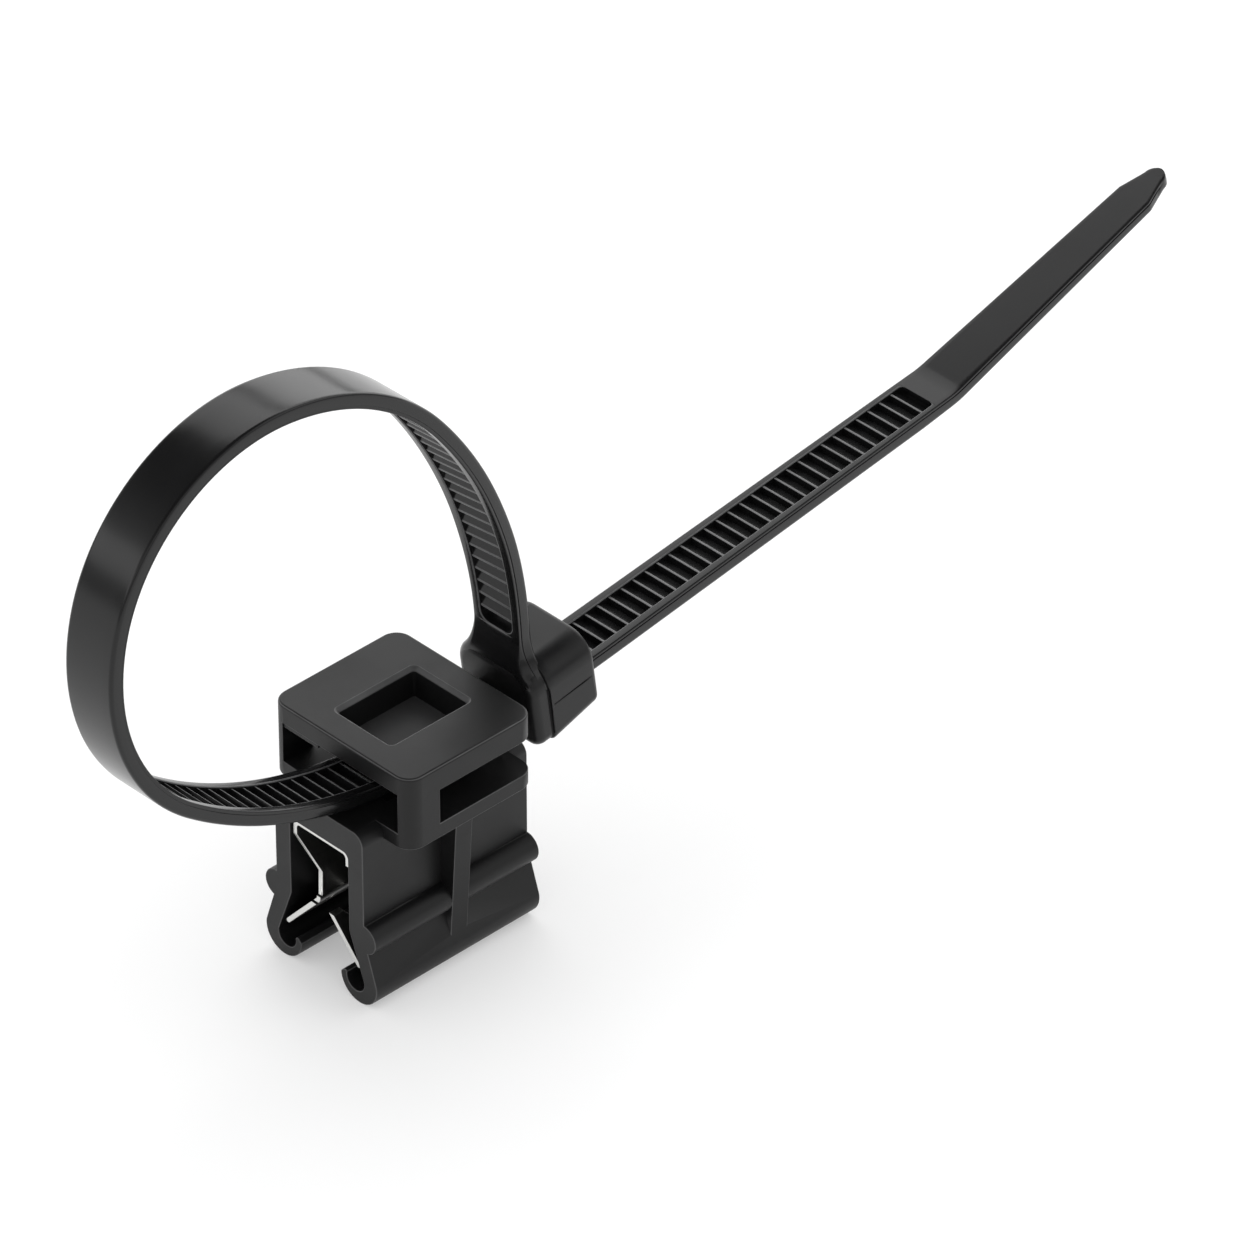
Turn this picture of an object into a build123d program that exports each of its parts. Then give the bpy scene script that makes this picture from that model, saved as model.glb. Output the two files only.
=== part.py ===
# Edge clip with a threaded cable tie.
# X runs across the jaws, Y along the strap's run through the saddle, Z up.
# The origin lies in the middle of the jaws' mouth, on the plane that their lips stand on.

import os
from math import cos, radians, sin

from build123d import *

os.makedirs("parts", exist_ok=True)

# Jaws
jaw_width = 9.05
jaw_length = 15.85
jaw_wall = 1.52
jaw_height = 14.85
web_thick = 2.3
shoulder_radius = 1.0
inner_corner = 0.5
lip_radius = 1.85
lip_spread = 3.9
hook_wall = 0.6
groove_radius = 0.9
groove_drop = 0.05
hook_rise = 0.4
flare_height = 5.9
bar_radius = 1.18
rib_thick = 1.6
rib_reach_top = 6.25
rib_reach_low = 5.45
rib_land = 0.3

# Saddle, set a little towards the tail
saddle_shift = 0.275
plate_width = 14.2
plate_length = 12.2
plate_corner = 1.35
floor_thick = 1.2
channel_height = 2.9
top_thick = 2.0
edge_round = 0.22
strap_groove = 0.17
strap_side_gap = 0.3
brow_height = 0.45
brow_depth = 1.2
brow_ledge = 0.15
post_thick = 1.2
post_length = 3.0
far_post_thick = 1.3
far_post_length = 2.8
window_width = 5.5
window_length = 7.3
window_depth = 2.5
window_bevel = 0.28
pocket_wall = 0.65
pocket_floor = 0.6

# Spring steel insert
sheet = 0.4
insert_inset = 0.225
insert_clear = 0.1
bend_radius = 0.5
shank_drop = 1.3
throat_gap = 0.16
throat_height = 6.75
leaf_reach = 3.65
leaf_end_height = 3.0
slight_cut = 0.9
slight_cut_height = 8.3
deep_cut = 2.5
deep_cut_height = 8.9
notch_width = 3.9
notch_depth = 1.6
barb_tip_width = 0.95
barb_tip_height = 6.05
barb_tip_gap = 0.25
barb_root_width = 2.6
barb_root_height = 4.1
barb_slot_round = 0.28

# Strap
strap_width = 4.7
strap_thick = 1.2
strap_seat_gap = 0.05
rail_width = 0.72
rail_rise = 0.14
tooth_pitch = 1.2
tooth_depth = 0.5
crest_land = 0.16
steep_run = 0.14
# Loop bends from the head round to the saddle: radius of the strap's middle layer, and turn in degrees
loop_bends = ((40.3, 32.7), (19.7, 47.5), (14.5, 79.9), (16.7, 67.8), (36.2, 38.1))
loop_end = 0.9
root_run = 3.7
saddle_run = 8.7
tail_lift = 7.7
lift_radius = 8.0
tail_run = 42.8
tip_lift = 10.5
tip_bend_radius = 7.0
tip_run = 24.12
taper_start = 2.7
tail_end_width = 4.23
tip_shoulder_width = 3.08
nose_radius = 0.9
point_length = 2.9
tip_thinning = 0.2
ladder_start = 3.1
ladder_end_gap = 1.2

# Tie head
head_width = 7.9
head_height = 6.8
head_depth = 6.2
head_below_slot = 2.45
head_corner_top = 2.1
head_corner_low = 1.0
head_round = 0.85
head_edge = 0.45
head_step = 0.12
head_draft = 0.45
collar_depth = 1.6
head_back = 1.35
slot_clear = 0.12
slot_mouth = 0.4
pawl_width = 2.8
pawl_side_gap = 0.3
pawl_thick = 1.1
pawl_clear = 0.08
pawl_teeth = 3
pawl_tip_gap = 0.72
flex_gap = 0.9
root_sink = 1.0
fairing_rise = 2.2
fairing_radius = 4.2
fairing_turn = 45

half_jaw = jaw_width / 2
half_length = jaw_length / 2
jaw_inner = half_jaw - jaw_wall
web_under = jaw_height - web_thick
lip_outer = lip_spread + lip_radius
floor_under = jaw_height - floor_thick
channel_top = jaw_height + channel_height
plate_top = channel_top + top_thick
half_plate_width = plate_width / 2
half_plate_length = plate_length / 2
saddle_plane = Plane(origin=(0, saddle_shift, 0))


def on_circle(centre, radius, degrees):
    angle = radians(degrees)
    return (centre[0] + radius * cos(angle), centre[1] + radius * sin(angle))


# One jaw in section, from the middle of the web out and down to the curled lip and back up inside
lip_centre = (lip_spread, lip_radius)
groove_centre = (lip_spread - lip_radius + hook_wall + groove_radius, lip_radius - groove_drop)
lip_side = on_circle(lip_centre, lip_radius, 10)
lip_bottom = on_circle(lip_centre, lip_radius, 270)
hook_side = on_circle(lip_centre, lip_radius, 180)
hook_inner = on_circle(groove_centre, groove_radius, 165)
hook_tip = (hook_side[0] + hook_wall * 0.7, lip_radius + hook_rise)
groove_bottom = on_circle(groove_centre, groove_radius, 270)
groove_side = on_circle(groove_centre, groove_radius, 15)

with BuildPart() as clip_body:
    with BuildSketch(Plane.XZ) as jaw_section:
        with BuildLine():
            Polyline((0, web_under), (0, jaw_height), (half_jaw, jaw_height), (half_jaw, flare_height), lip_side)
            ThreePointArc(lip_side, lip_bottom, hook_side)
            Polyline(hook_side, hook_tip, hook_inner)
            ThreePointArc(hook_inner, groove_bottom, groove_side)
            Polyline(groove_side, (jaw_inner, flare_height), (jaw_inner, web_under), (0, web_under))
        make_face()
        with Locations((half_jaw, flare_height)):
            Circle(bar_radius)
        fillet(jaw_section.vertices().sort_by_distance((half_jaw, jaw_height))[0], shoulder_radius)
        fillet(jaw_section.vertices().sort_by_distance((jaw_inner, web_under))[0], inner_corner)
        fillet(jaw_section.vertices().sort_by_distance(hook_tip)[0], hook_wall * 0.35)
        mirror(about=Plane.YZ)
    extrude(amount=half_length, both=True)

    # Gusset under each side of the saddle floor, across the grip bar
    with BuildSketch(Plane.XZ.offset(-saddle_shift)):
        Polygon(
            (half_jaw - jaw_wall / 2, floor_under),
            (rib_reach_top, floor_under),
            (rib_reach_low, lip_radius),
            (lip_spread + groove_radius + rib_land, lip_radius),
            (half_jaw - jaw_wall / 2, flare_height),
            align=None,
        )
        mirror(about=Plane.YZ)
    extrude(amount=rib_thick / 2, both=True)

    # Saddle floor and top plate
    with BuildSketch(saddle_plane.offset(floor_under)):
        RectangleRounded(plate_width, plate_length, plate_corner)
    extrude(amount=floor_thick)
    with BuildSketch(saddle_plane.offset(channel_top)):
        RectangleRounded(plate_width, plate_length, plate_corner)
    extrude(amount=top_thick)
    fillet(clip_body.faces().sort_by(Axis.Z)[-1].edges(), edge_round)

    # Shallow groove that keeps the strap in line, open towards the tail
    with BuildSketch(saddle_plane.offset(jaw_height - strap_groove)):
        with Locations((0, -plate_length / 3)):
            Rectangle(strap_width + 2 * strap_side_gap, jaw_length, align=(Align.CENTER, Align.MIN))
    extrude(amount=strap_groove, mode=Mode.SUBTRACT)

    # Posts at the two corners where the strap comes in
    with BuildSketch(saddle_plane.offset(jaw_height)):
        RectangleRounded(plate_width, plate_length, plate_corner)
        with Locations((0, -half_plate_length)):
            Rectangle(plate_width, 2 * post_length, mode=Mode.INTERSECT)
        Rectangle(plate_width - 2 * post_thick, plate_length, mode=Mode.SUBTRACT)
    extrude(amount=channel_height)

    # Relief under the plate's front edge, with a ledge left on one side of it
    opening_half = half_plate_width - post_thick
    with BuildSketch(saddle_plane.offset(channel_top)):
        with Locations((0, -half_plate_length)):
            Rectangle(2 * opening_half, 2 * brow_depth)
    extrude(amount=brow_height, mode=Mode.SUBTRACT)
    with BuildSketch(saddle_plane.offset(channel_top)):
        with Locations((-opening_half, brow_ledge - half_plate_length)):
            Rectangle(opening_half - strap_width / 2, brow_depth, align=(Align.MIN, Align.MIN))
    extrude(amount=brow_height)

    # Inset posts beside the strap at the other end
    with BuildSketch(saddle_plane.offset(jaw_height)):
        far_post_x = strap_width / 2 + 1.5 * strap_side_gap + far_post_thick / 2
        far_post_y = half_plate_length - plate_corner / 2 - far_post_length / 2
        with Locations((far_post_x, far_post_y), (-far_post_x, far_post_y)):
            Rectangle(far_post_thick, far_post_length)
    extrude(amount=channel_height)

    # Pocket in the top plate, with its box hanging into the channel
    pocket_bottom = plate_top - window_depth
    box_under = pocket_bottom - pocket_floor
    with BuildSketch(saddle_plane.offset(box_under)):
        RectangleRounded(window_width + 2 * pocket_wall, window_length + 2 * pocket_wall, pocket_wall / 2)
    extrude(amount=channel_top - box_under + top_thick / 2)
    with BuildSketch(saddle_plane.offset(pocket_bottom)):
        RectangleRounded(window_width, window_length, inner_corner / 2)
    extrude(amount=window_depth, mode=Mode.SUBTRACT)
    with BuildSketch(saddle_plane.offset(plate_top)):
        RectangleRounded(window_width + 2 * window_bevel, window_length + 2 * window_bevel, inner_corner)
    with BuildSketch(saddle_plane.offset(plate_top - window_bevel)):
        RectangleRounded(window_width, window_length, inner_corner / 2)
    loft(mode=Mode.SUBTRACT)

clip_body.part.label = "clip_body"
export_step(clip_body.part, "parts/clip_body.step")


# Insert: half of the bent sheet in section, from the web down to the throat and out to the leaf's end
insert_top = web_under - insert_clear / 2
shank_x = jaw_inner - insert_clear - sheet / 2
half_insert = half_length - insert_inset

with BuildPart() as grip_insert:
    with BuildSketch(Plane.XZ) as sheet_section:
        with BuildLine():
            half_sheet = FilletPolyline(
                (0, insert_top - sheet / 2),
                (shank_x, insert_top - sheet / 2),
                (shank_x, insert_top - shank_drop),
                (throat_gap / 2 + sheet / 2, throat_height),
                (leaf_reach, leaf_end_height),
                radius=bend_radius,
            )
            offset(half_sheet, amount=sheet / 2, side=Side.BOTH)
        make_face()
        mirror(about=Plane.YZ)
    extrude(amount=half_insert, both=True)

    # Each leaf ends in barbs with free tips. The shank above a barb is cut back, at one end deeper than at
    # the other, and the two halves of the insert are alike when it is turned end for end.
    front = -half_insert
    shank_top = insert_top - shank_drop
    deep_shank = [
        (front - sheet, shank_top),
        (front, shank_top),
        (front + deep_cut, deep_cut_height),
        (front + deep_cut, throat_height),
        (front + barb_root_width, barb_root_height),
        (front + barb_tip_width, barb_tip_height),
        (front - sheet, barb_tip_height),
    ]
    slight_shank = [
        (front - sheet, shank_top),
        (front, shank_top),
        (front + slight_cut, slight_cut_height),
        (front + sheet / 2, throat_height + sheet / 2),
        (front - sheet, throat_height),
    ]
    barb_slot = [
        (front - sheet, barb_tip_height + barb_tip_gap),
        (front + deep_cut, barb_tip_height + barb_tip_gap),
        (front + barb_root_width, barb_root_height),
        (front + barb_tip_width, barb_tip_height),
        (front - sheet, barb_tip_height),
    ]
    for side in (1, -1):
        with BuildSketch(Plane.YZ) as end_cuts:
            Polygon(*[(side * y, z) for y, z in deep_shank], align=None)
            Polygon(*[(-side * y, z) for y, z in slight_shank], align=None)
            Polygon(*[(-side * y, z) for y, z in barb_slot], align=None)
            fillet(end_cuts.vertices().group_by(Axis.Y)[0], barb_slot_round)
        extrude(amount=side * (leaf_reach + sheet), mode=Mode.SUBTRACT)

    # Notch in the middle of each leaf's edge
    with BuildSketch(Plane.YZ):
        leaf_low = leaf_end_height - sheet
        Polygon(
            (-notch_width / 2, leaf_low),
            (notch_width / 2, leaf_low),
            (notch_width / 2 - sheet, leaf_low + notch_depth),
            (-notch_width / 2 + 2 * sheet, leaf_low + notch_depth),
            align=None,
        )
    extrude(amount=leaf_reach + sheet, both=True, mode=Mode.SUBTRACT)

grip_insert.part.label = "grip_insert"
export_step(grip_insert.part, "parts/grip_insert.step")


# The strap's middle layer is one run of straights and left-hand bends in the YZ plane: up from the head,
# round the loop, down into the saddle, through the head's slot and out along the tail.
strap_run = (
    [("line", root_run)]
    + [("bend", radius, turn) for radius, turn in loop_bends]
    + [("line", saddle_run), ("bend", lift_radius, tail_lift), ("line", tail_run)]
    + [("bend", tip_bend_radius, tip_lift), ("line", tip_run)]
)


def step_on(point, heading, piece, distance=None):
    """Move along one straight or bend of the run, and return the new point and heading."""
    if piece[0] == "line":
        travel = piece[1] if distance is None else distance
        angle = radians(heading)
        return (point[0] + travel * cos(angle), point[1] + travel * sin(angle)), heading
    radius = piece[1]
    turn = piece[2] if distance is None else distance / radians(radius)
    centre = on_circle(point, radius, heading + 90)
    return on_circle(centre, radius, heading - 90 + turn), heading + turn


def piece_length(piece):
    return piece[1] if piece[0] == "line" else piece[1] * radians(piece[2])


def walk(point, heading, pieces):
    for piece in pieces:
        point, heading = step_on(point, heading, piece)
    return point, heading


# The run is placed so that the loop ends flat on the saddle floor
root_heading = 360 - sum(turn for radius, turn in loop_bends)
saddle_point = (loop_end, jaw_height - strap_groove + strap_seat_gap + strap_thick / 2)
loop_pieces = 1 + len(loop_bends)
loop_shift, end_heading = walk((0, 0), root_heading, strap_run[:loop_pieces])
root_point = (saddle_point[0] - loop_shift[0], saddle_point[1] - loop_shift[1])
run_length = sum(piece_length(piece) for piece in strap_run)
tail_pieces = loop_pieces + 2
tail_start = sum(piece_length(piece) for piece in strap_run[:tail_pieces])
tail_end = tail_start + tail_run


def station(distance, rise=0.0):
    """Point at a distance along the run, raised towards the inside of the loop."""
    point, heading = root_point, root_heading
    for piece in strap_run:
        length = piece_length(piece)
        if distance <= length:
            break
        point, heading = step_on(point, heading, piece)
        distance -= length
    point, heading = step_on(point, heading, piece, distance)
    return on_circle(point, rise, heading + 90)


def draw_run(rise):
    """Draw the run as one line, raised towards the inside of the loop."""
    point, heading = root_point, root_heading
    for piece in strap_run:
        start = on_circle(point, rise, heading + 90)
        point, new_heading = step_on(point, heading, piece)
        if piece[0] == "line":
            Line(start, on_circle(point, rise, heading + 90))
        else:
            tangent = (cos(radians(heading)), sin(radians(heading)))
            JernArc(start, tangent, piece[1] - rise, piece[2])
        heading = new_heading


# Teeth: each one falls away slowly towards the tip and steeply towards the head
crest_rise = strap_thick / 2 - rail_rise
valley_rise = crest_rise - tooth_depth
head_inlet = tail_start - head_back
phase_tooth = head_inlet + head_depth - pawl_tip_gap
first_tooth = phase_tooth - int((phase_tooth - ladder_start) / tooth_pitch) * tooth_pitch
tooth_count = int((tail_end - ladder_end_gap - first_tooth) / tooth_pitch)


def tooth_outline(start, top_rise, low_rise):
    return [
        station(start, top_rise),
        station(start + crest_land, top_rise),
        station(start + tooth_pitch - steep_run, low_rise),
    ]


ladder_floor = []
for number in range(tooth_count):
    ladder_floor += tooth_outline(first_tooth + number * tooth_pitch, crest_rise, valley_rise)
ladder_last = first_tooth + tooth_count * tooth_pitch
above_rails = strap_thick / 2 + rail_rise
ladder_cover = [station(first_tooth + step * tooth_pitch, above_rails) for step in range(tooth_count + 1)]

# Half widths of the tail, from the head to the bend, the shoulder of the point and its end
point_end = station(run_length)[0]
shoulder_y = point_end - point_length
bend_y = station(tail_end)[0]
taper_y = station(head_inlet + head_depth + taper_start)[0]

tip_start = tail_end + tip_bend_radius * radians(tip_lift)
tip_stations = (tail_end - point_length, tail_end, tip_start, run_length + point_length)
tip_raise = (0.0, tip_thinning / 2, tip_thinning / 2, tip_thinning)
tip_under = [station(place, rise - strap_thick / 2) for place, rise in zip(tip_stations, tip_raise)]
tip_clear = [station(place, -strap_thick) for place in tip_stations]

with BuildPart() as strap:
    with BuildSketch(Plane.YZ):
        with BuildLine():
            draw_run(-strap_thick / 2)
            draw_run(strap_thick / 2)
            Line(station(0, -strap_thick / 2), station(0, strap_thick / 2))
            Line(station(run_length, -strap_thick / 2), station(run_length, strap_thick / 2))
        make_face()
    extrude(amount=strap_width / 2, both=True)

    # The tail narrows towards its bend, and the tip beyond it narrows to a blunt point
    with BuildSketch(Plane.XY):
        with Locations((0, taper_y)):
            Rectangle(2 * strap_width, 2 * point_end, align=(Align.CENTER, Align.MIN))
        with BuildSketch(mode=Mode.SUBTRACT) as tail_plan:
            with BuildLine():
                Polyline(
                    (0, taper_y),
                    (strap_width / 2, taper_y),
                    (tail_end_width / 2, bend_y),
                    (tip_shoulder_width / 2, shoulder_y),
                    (nose_radius, point_end - nose_radius),
                    (0, point_end - nose_radius),
                    (0, taper_y),
                )
            make_face()
            mirror(about=Plane.YZ)
            with Locations((0, point_end - nose_radius)):
                Circle(nose_radius)
    extrude(amount=plate_top * 2, mode=Mode.SUBTRACT)

    # The tip is thinner than the strap
    with BuildSketch(Plane.YZ):
        with BuildLine():
            Polyline(*tip_under, *reversed(tip_clear), close=True)
        make_face()
    extrude(amount=strap_width, both=True, mode=Mode.SUBTRACT)

    # Ladder of teeth in a channel between two rails
    with BuildSketch(Plane.YZ):
        with BuildLine():
            Polyline(*ladder_floor, station(ladder_last, crest_rise), *reversed(ladder_cover), close=True)
        make_face()
    extrude(amount=strap_width / 2 - rail_width, both=True, mode=Mode.SUBTRACT)

# Head: drawn square to the slot, which lies on the tail's line
slot_direction = Vector(0, cos(radians(tail_lift)), sin(radians(tail_lift)))
slot_start = Vector(0, *station(tail_start)) - slot_direction * head_back
slot_axis = Axis(slot_start, slot_direction)
inlet_plane = Plane(origin=slot_start, x_dir=(1, 0, 0), z_dir=-slot_direction)
head_middle = head_height / 2 - head_below_slot
slot_half_height = strap_thick / 2 + slot_clear
slot_half_width = strap_width / 2 + slot_clear
pawl_half = pawl_width / 2
cavity_top = slot_half_height + pawl_thick + flex_gap
cavity_start = collar_depth / 2


def head_outline(depth, grow, lift):
    """Outline of the head square to its slot, rounder at the top, with its underside lifted."""
    with BuildSketch(inlet_plane.offset(-depth)) as outline:
        with Locations((0, head_middle + lift / 2)):
            Rectangle(head_width + 2 * grow, head_height + 2 * grow - lift)
        fillet(outline.vertices().group_by(Axis.Y)[-1], head_corner_top)
        fillet(outline.vertices().group_by(Axis.Y)[0], head_corner_low)
    return outline.sketch


with BuildPart() as head:
    # Collar with a soft edge all round
    extrude(head_outline(0, 0, 0), amount=-collar_depth)
    fillet(head.faces().sort_by(slot_axis)[0].edges(), head_round)

    # The block behind the collar stands a little proud of it
    loft([head_outline(collar_depth, head_step, 0), head_outline(head_depth, 0, head_draft)])
    fillet(head.faces().sort_by(slot_axis)[-1].edges(), head_edge)

    # Slot for the strap, with a flared mouth
    with BuildSketch(inlet_plane):
        Rectangle(2 * slot_half_width, 2 * slot_half_height)
    extrude(amount=-head_depth, mode=Mode.SUBTRACT)
    with BuildSketch(inlet_plane):
        Rectangle(2 * (slot_half_width + slot_mouth), 2 * (slot_half_height + slot_mouth))
    with BuildSketch(inlet_plane.offset(-2 * slot_mouth)):
        Rectangle(2 * slot_half_width, 2 * slot_half_height)
    loft(mode=Mode.SUBTRACT)

    # Room for the pawl to lift
    with BuildSketch(inlet_plane.offset(-cavity_start)):
        with Locations((0, slot_half_height)):
            Rectangle(
                pawl_width + 2 * pawl_side_gap,
                cavity_top - slot_half_height,
                align=(Align.CENTER, Align.MIN),
            )
    extrude(amount=cavity_start - head_depth, mode=Mode.SUBTRACT)

# Pawl: a tongue from the inlet side whose teeth sit in the ladder
pawl_first = phase_tooth - pawl_teeth * tooth_pitch
pawl_low = [station(head_inlet + cavity_start - slot_clear, slot_half_height + pawl_clear)]
for number in range(pawl_teeth):
    tooth_start = pawl_first + number * tooth_pitch - pawl_clear
    pawl_low += tooth_outline(tooth_start, crest_rise + 2 * pawl_clear, valley_rise + 2 * pawl_clear)
pawl_low.append(station(phase_tooth - pawl_clear, crest_rise + pawl_clear))
pawl_high = [
    station(phase_tooth - pawl_clear, slot_half_height + pawl_thick * 0.6),
    station(head_inlet + cavity_start - slot_clear, slot_half_height + pawl_thick),
]

with BuildPart() as pawl:
    with BuildSketch(Plane.YZ):
        with BuildLine():
            Polyline(*pawl_low, *pawl_high, close=True)
        make_face()
    extrude(amount=pawl_half, both=True)

# Fairing from the strap's edges to the head's shoulders
fairing_top = root_sink + fairing_rise
fairing_centre = (strap_width / 2 + fairing_radius, fairing_top)
fairing_middle = on_circle(fairing_centre, fairing_radius, 180 + fairing_turn / 2)
fairing_end = on_circle(fairing_centre, fairing_radius, 180 + fairing_turn)

root_angle = radians(root_heading)
root_plane = Plane(origin=(0, *root_point), x_dir=(1, 0, 0), z_dir=(0, -sin(root_angle), cos(root_angle)))

with BuildPart() as fairing:
    with BuildSketch(root_plane):
        with BuildLine():
            ThreePointArc((strap_width / 2, fairing_top), fairing_middle, fairing_end)
            Polyline(fairing_end, (fairing_end[0], 0), (0, 0), (0, fairing_top), (strap_width / 2, fairing_top))
        make_face()
        mirror(about=Plane.YZ)
    extrude(amount=(strap_thick - head_step) / 2, both=True)

with BuildPart() as cable_tie:
    add(strap.part)
    add(head.part)
    add(pawl.part)
    add(fairing.part)

cable_tie.part.label = "cable_tie"
export_step(cable_tie.part, "parts/cable_tie.step")
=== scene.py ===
from math import acos, cos, pi, radians, sin, sqrt, tan

import bmesh
import bpy
from mathutils import Matrix, Vector


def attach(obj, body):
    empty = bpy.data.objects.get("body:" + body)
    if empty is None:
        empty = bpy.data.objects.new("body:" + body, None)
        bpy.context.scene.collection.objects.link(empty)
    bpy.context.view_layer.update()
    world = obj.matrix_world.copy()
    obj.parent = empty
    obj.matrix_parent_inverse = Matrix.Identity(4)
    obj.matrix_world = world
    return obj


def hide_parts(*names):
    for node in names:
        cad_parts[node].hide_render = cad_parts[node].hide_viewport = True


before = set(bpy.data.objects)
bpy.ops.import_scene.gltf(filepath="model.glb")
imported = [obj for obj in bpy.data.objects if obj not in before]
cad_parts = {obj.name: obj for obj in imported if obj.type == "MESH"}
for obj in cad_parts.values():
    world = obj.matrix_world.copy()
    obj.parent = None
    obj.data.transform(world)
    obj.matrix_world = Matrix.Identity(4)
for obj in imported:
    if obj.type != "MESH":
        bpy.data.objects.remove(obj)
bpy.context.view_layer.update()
mm = 0.001
print("frame loaded:", sorted(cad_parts))


def linkObject(name, data):
    made = bpy.data.objects.new(name, data)
    bpy.context.scene.collection.objects.link(made)
    return made


def meshFrom(name, points, faces):
    # points in millimetres
    mesh = bpy.data.meshes.new(name)
    mesh.from_pydata([tuple(c * mm for c in p) for p in points], [], faces)
    mesh.update()
    return mesh


def bakeModifiers(made):
    # the evaluated result becomes the piece's own plain mesh
    graph = bpy.context.evaluated_depsgraph_get()
    flat = bpy.data.meshes.new_from_object(made.evaluated_get(graph))
    made.modifiers.clear()
    old = made.data
    made.data = flat
    if old.users == 0 and isinstance(old, bpy.types.Mesh):
        bpy.data.meshes.remove(old)
    return made


def tidyMesh(mesh, weld=0.0004):
    form = bmesh.new()
    form.from_mesh(mesh)
    bmesh.ops.remove_doubles(form, verts=form.verts, dist=weld * mm)
    loose = [v for v in form.verts if not v.link_faces]
    bmesh.ops.delete(form, geom=loose, context="VERTS")
    bmesh.ops.recalc_face_normals(form, faces=form.faces)
    form.to_mesh(mesh)
    form.free()
    mesh.update()


def smoothByAngle(mesh, degrees):
    form = bmesh.new()
    form.from_mesh(mesh)
    for face in form.faces:
        face.smooth = True
    for edge in form.edges:
        edge.smooth = len(edge.link_faces) == 2 and edge.calc_face_angle(0) < radians(degrees)
    form.to_mesh(mesh)
    form.free()


def levelNormals(made, sharp=True):
    # large faces keep their own shading, the small rounds between them carry the change
    level = made.modifiers.new("level", "WEIGHTED_NORMAL")
    level.keep_sharp = sharp
    level.weight = 60
    return bakeModifiers(made)


def softenEdges(made, width, degrees=None, finish=-1):
    # small rounds, as a mould leaves them, on edges above the angle or else on those with a weight
    byWeight = degrees is None
    bevel = made.modifiers.new("arris", "BEVEL")
    bevel.width = width * mm
    bevel.segments = 2
    bevel.limit_method = "WEIGHT" if byWeight else "ANGLE"
    if not byWeight:
        bevel.angle_limit = radians(degrees)
    bevel.use_clamp_overlap = False
    bevel.miter_outer = "MITER_SHARP"
    bevel.harden_normals = False
    # a given finish index colours the rounds; on the clip that is a painted highlight
    bevel.material = finish
    return levelNormals(made, byWeight)


def nodeSocket(tree, name, kind, inOut, value=None):
    socket = tree.interface.new_socket(name=name, in_out=inOut, socket_type=kind)
    if value is not None:
        socket.default_value = value


def finishTree(name, inputs):
    # a group with its own inputs, then the tones and gloss that every finish here takes
    tree = bpy.data.node_groups.new(name, "ShaderNodeTree")
    for label, value in inputs:
        nodeSocket(tree, label, "NodeSocketFloat", "INPUT", value)
    for label, value in (("Gloss low", 0.3), ("Gloss high", 0.5)):
        nodeSocket(tree, label, "NodeSocketFloat", "INPUT", value)
    for label, value in (("Dark", (0.01, 0.01, 0.011, 1)), ("Light", (0.02, 0.02, 0.021, 1))):
        nodeSocket(tree, label, "NodeSocketColor", "INPUT", value)
    nodeSocket(tree, "Colour", "NodeSocketColor", "OUTPUT")
    nodeSocket(tree, "Roughness", "NodeSocketFloat", "OUTPUT")
    nodeSocket(tree, "Height", "NodeSocketFloat", "OUTPUT")
    return tree, tree.nodes.new("NodeGroupInput"), tree.nodes.new("NodeGroupOutput")


def noiseFrom(tree, given, vector, perMillimetre, detail, rough=0.5):
    # noise whose scale is given per millimetre
    scaled, noise = tree.nodes.new("ShaderNodeMath"), tree.nodes.new("ShaderNodeTexNoise")
    scaled.operation = "MULTIPLY"
    scaled.inputs[1].default_value = 1000.0
    noise.inputs["Detail"].default_value = detail
    noise.inputs["Roughness"].default_value = rough
    tree.links.new(given.outputs[perMillimetre], scaled.inputs[0])
    tree.links.new(scaled.outputs[0], noise.inputs["Scale"])
    tree.links.new(vector, noise.inputs["Vector"])
    return noise.outputs["Fac"]


def spreadTones(tree, given, result, amount, height):
    # the noise picks the gloss and the tone between the two given ends
    nodes, links = tree.nodes, tree.links
    gloss = nodes.new("ShaderNodeMapRange")
    gloss.inputs["From Min"].default_value = 0.3
    gloss.inputs["From Max"].default_value = 0.7
    links.new(amount, gloss.inputs["Value"])
    links.new(given.outputs["Gloss low"], gloss.inputs["To Min"])
    links.new(given.outputs["Gloss high"], gloss.inputs["To Max"])
    tint = nodes.new("ShaderNodeMix")
    tint.data_type = "RGBA"
    links.new(amount, tint.inputs["Factor"])
    links.new(given.outputs["Dark"], tint.inputs["A"])
    links.new(given.outputs["Light"], tint.inputs["B"])
    links.new(tint.outputs["Result"], result.inputs["Colour"])
    links.new(gloss.outputs["Result"], result.inputs["Roughness"])
    links.new(height, result.inputs["Height"])


def mouldGrain():
    # fine spark-eroded grain of the mould, with slow cloudy changes of gloss
    tree, given, result = finishTree("mouldGrain", (("Grain per mm", 9.0), ("Cloud per mm", 0.25)))
    place = tree.nodes.new("ShaderNodeTexCoord").outputs["Object"]
    grain = noiseFrom(tree, given, place, "Grain per mm", 2.0)
    cloud = noiseFrom(tree, given, place, "Cloud per mm", 3.0, 0.6)
    spreadTones(tree, given, result, cloud, grain)
    return tree


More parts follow.
